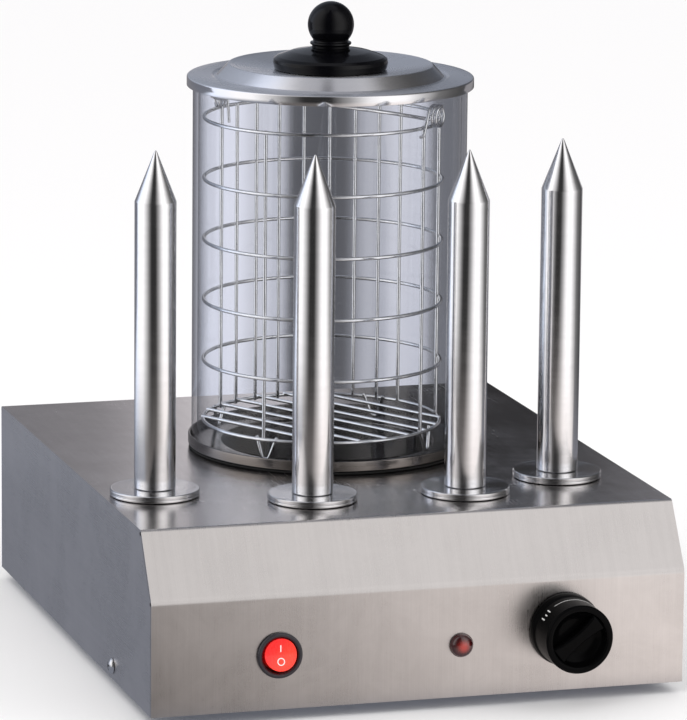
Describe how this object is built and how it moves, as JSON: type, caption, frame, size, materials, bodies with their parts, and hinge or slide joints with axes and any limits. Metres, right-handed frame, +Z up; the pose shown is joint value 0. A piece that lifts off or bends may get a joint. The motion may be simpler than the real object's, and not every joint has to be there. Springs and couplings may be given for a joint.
{
  "type": "hot dog steamer",
  "caption": "Counter-top hot dog steamer: folded steel housing, glass steaming cylinder with wire basket and lid, upright heated bun spikes, rocker switch, lamp and thermostat.",
  "frame": {"origin": "on the table under the middle of the object's bounding box", "axes": "+Z up, -Y out of the front face with the controls, +X to the right seen from the front"},
  "size_m": [0.2902, 0.362, 0.341],
  "materials": {
    "brushed_steel_shell": "brushed, vertical grain",
    "brushed_steel_rear": "brushed",
    "zinc_plate": "zinc-plated sheet",
    "nuts_zinc": "zinc plated",
    "heater_sheath": "satin",
    "screw_steel": "polished",
    "rubber": "matte",
    "pan_steel": "drawn, satin",
    "seat_steel": "polished",
    "cast_aluminium": "cast",
    "ceramic": "matt ceramic",
    "glass": "clear",
    "lid_steel": "polished, turned",
    "black_plastic": "gloss",
    "basket_wire": "bright",
    "spike_metal": "polished",
    "flange_metal": "turned",
    "switch_plastic": "satin",
    "switch_red": "translucent, lit",
    "lamp_red": "translucent",
    "matte_plastic": "satin",
    "copper": "drawn",
    "lead_red": "sleeved",
    "lead_blue": "sleeved"
  },
  "bodies": {
    "housing": {"housing_shell": "brushed_steel_shell", "rear_panel": "brushed_steel_rear", "base_plate": "zinc_plate", "pan_strap": "zinc_plate", "thermostat_body": "zinc_plate", "spike_nut_a": "nuts_zinc", "spike_nut_b": "nuts_zinc", "spike_nut_c": "nuts_zinc", "spike_nut_d": "nuts_zinc", "spike_heater_a": "heater_sheath", "spike_heater_b": "heater_sheath", "spike_heater_c": "heater_sheath", "spike_heater_d": "heater_sheath", "side_screw_left_front": "screw_steel", "side_screw_right_front": "screw_steel", "rear_screw_lower_left": "screw_steel", "rear_screw_lower_right": "screw_steel", "rear_screw_upper_left": "screw_steel", "rear_screw_upper_right": "screw_steel", "foot_front_left": "rubber", "foot_front_right": "rubber", "foot_rear_left": "rubber", "foot_rear_right": "rubber", "seat_gasket": "rubber", "water_pan": "pan_steel", "seat_ring": "seat_steel", "heater_plate": "cast_aluminium", "thermal_cutout": "ceramic", "terminal_block": "ceramic", "spike_a": "spike_metal", "spike_b": "spike_metal", "spike_c": "spike_metal", "spike_d": "spike_metal", "spike_flange_a": "flange_metal", "spike_flange_b": "flange_metal", "spike_flange_c": "flange_metal", "spike_flange_d": "flange_metal", "switch_body": "switch_plastic", "lamp_lens": "lamp_red", "lamp_body": "matte_plastic", "power_inlet": "matte_plastic", "thermostat_bulb": "copper", "lead_live": "lead_red", "lead_neutral": "lead_blue"},
    "steam_glass": {"glass_cylinder": "glass"},
    "lid": {"lid_plate": "lid_steel", "lid_knob_base": "black_plastic", "lid_knob_ball": "black_plastic", "lid_screw": "screw_steel"},
    "basket_unit": {"basket": "basket_wire"},
    "bail": {"basket_handle": "basket_wire"},
    "rocker": {"switch_rocker": "switch_red"},
    "dial": {"thermostat_knob": "black_plastic"}
  },
  "joints": [
    {"name": "glass_lift", "type": "slide", "parent": "housing", "child": "steam_glass", "axis": [0, 0, 1], "range_m": [0, 0.22]},
    {"name": "lid_lift", "type": "slide", "parent": "steam_glass", "child": "lid", "axis": [0, 0, 1], "range_m": [0, 0.45]},
    {"name": "basket_lift", "type": "slide", "parent": "housing", "child": "basket_unit", "axis": [0, 0, 1], "range_m": [0, 0.225]},
    {"name": "handle_swing", "type": "hinge", "parent": "basket_unit", "child": "bail", "pos_m": [0.002, 0.0345, 0.2829], "axis": [-0.7022, 0.712, 0], "range_deg": [0, 77.4]},
    {"name": "switch_rock", "type": "hinge", "parent": "housing", "child": "rocker", "pos_m": [-0.0753, -0.153, 0.0345], "axis": [1, 0, 0], "range_deg": [0, 16]},
    {"name": "dial_turn", "type": "hinge", "parent": "housing", "child": "dial", "pos_m": [0.0771, -0.1555, 0.0388], "axis": [0, 1, 0], "range_deg": [0, 270]}
  ],
  "couplings": [
    {"joint": "basket_lift", "follows": "lid_lift", "ratio": 0.5},
    {"joint": "handle_swing", "follows": "lid_lift", "rad_per_m": 3}
  ]
}
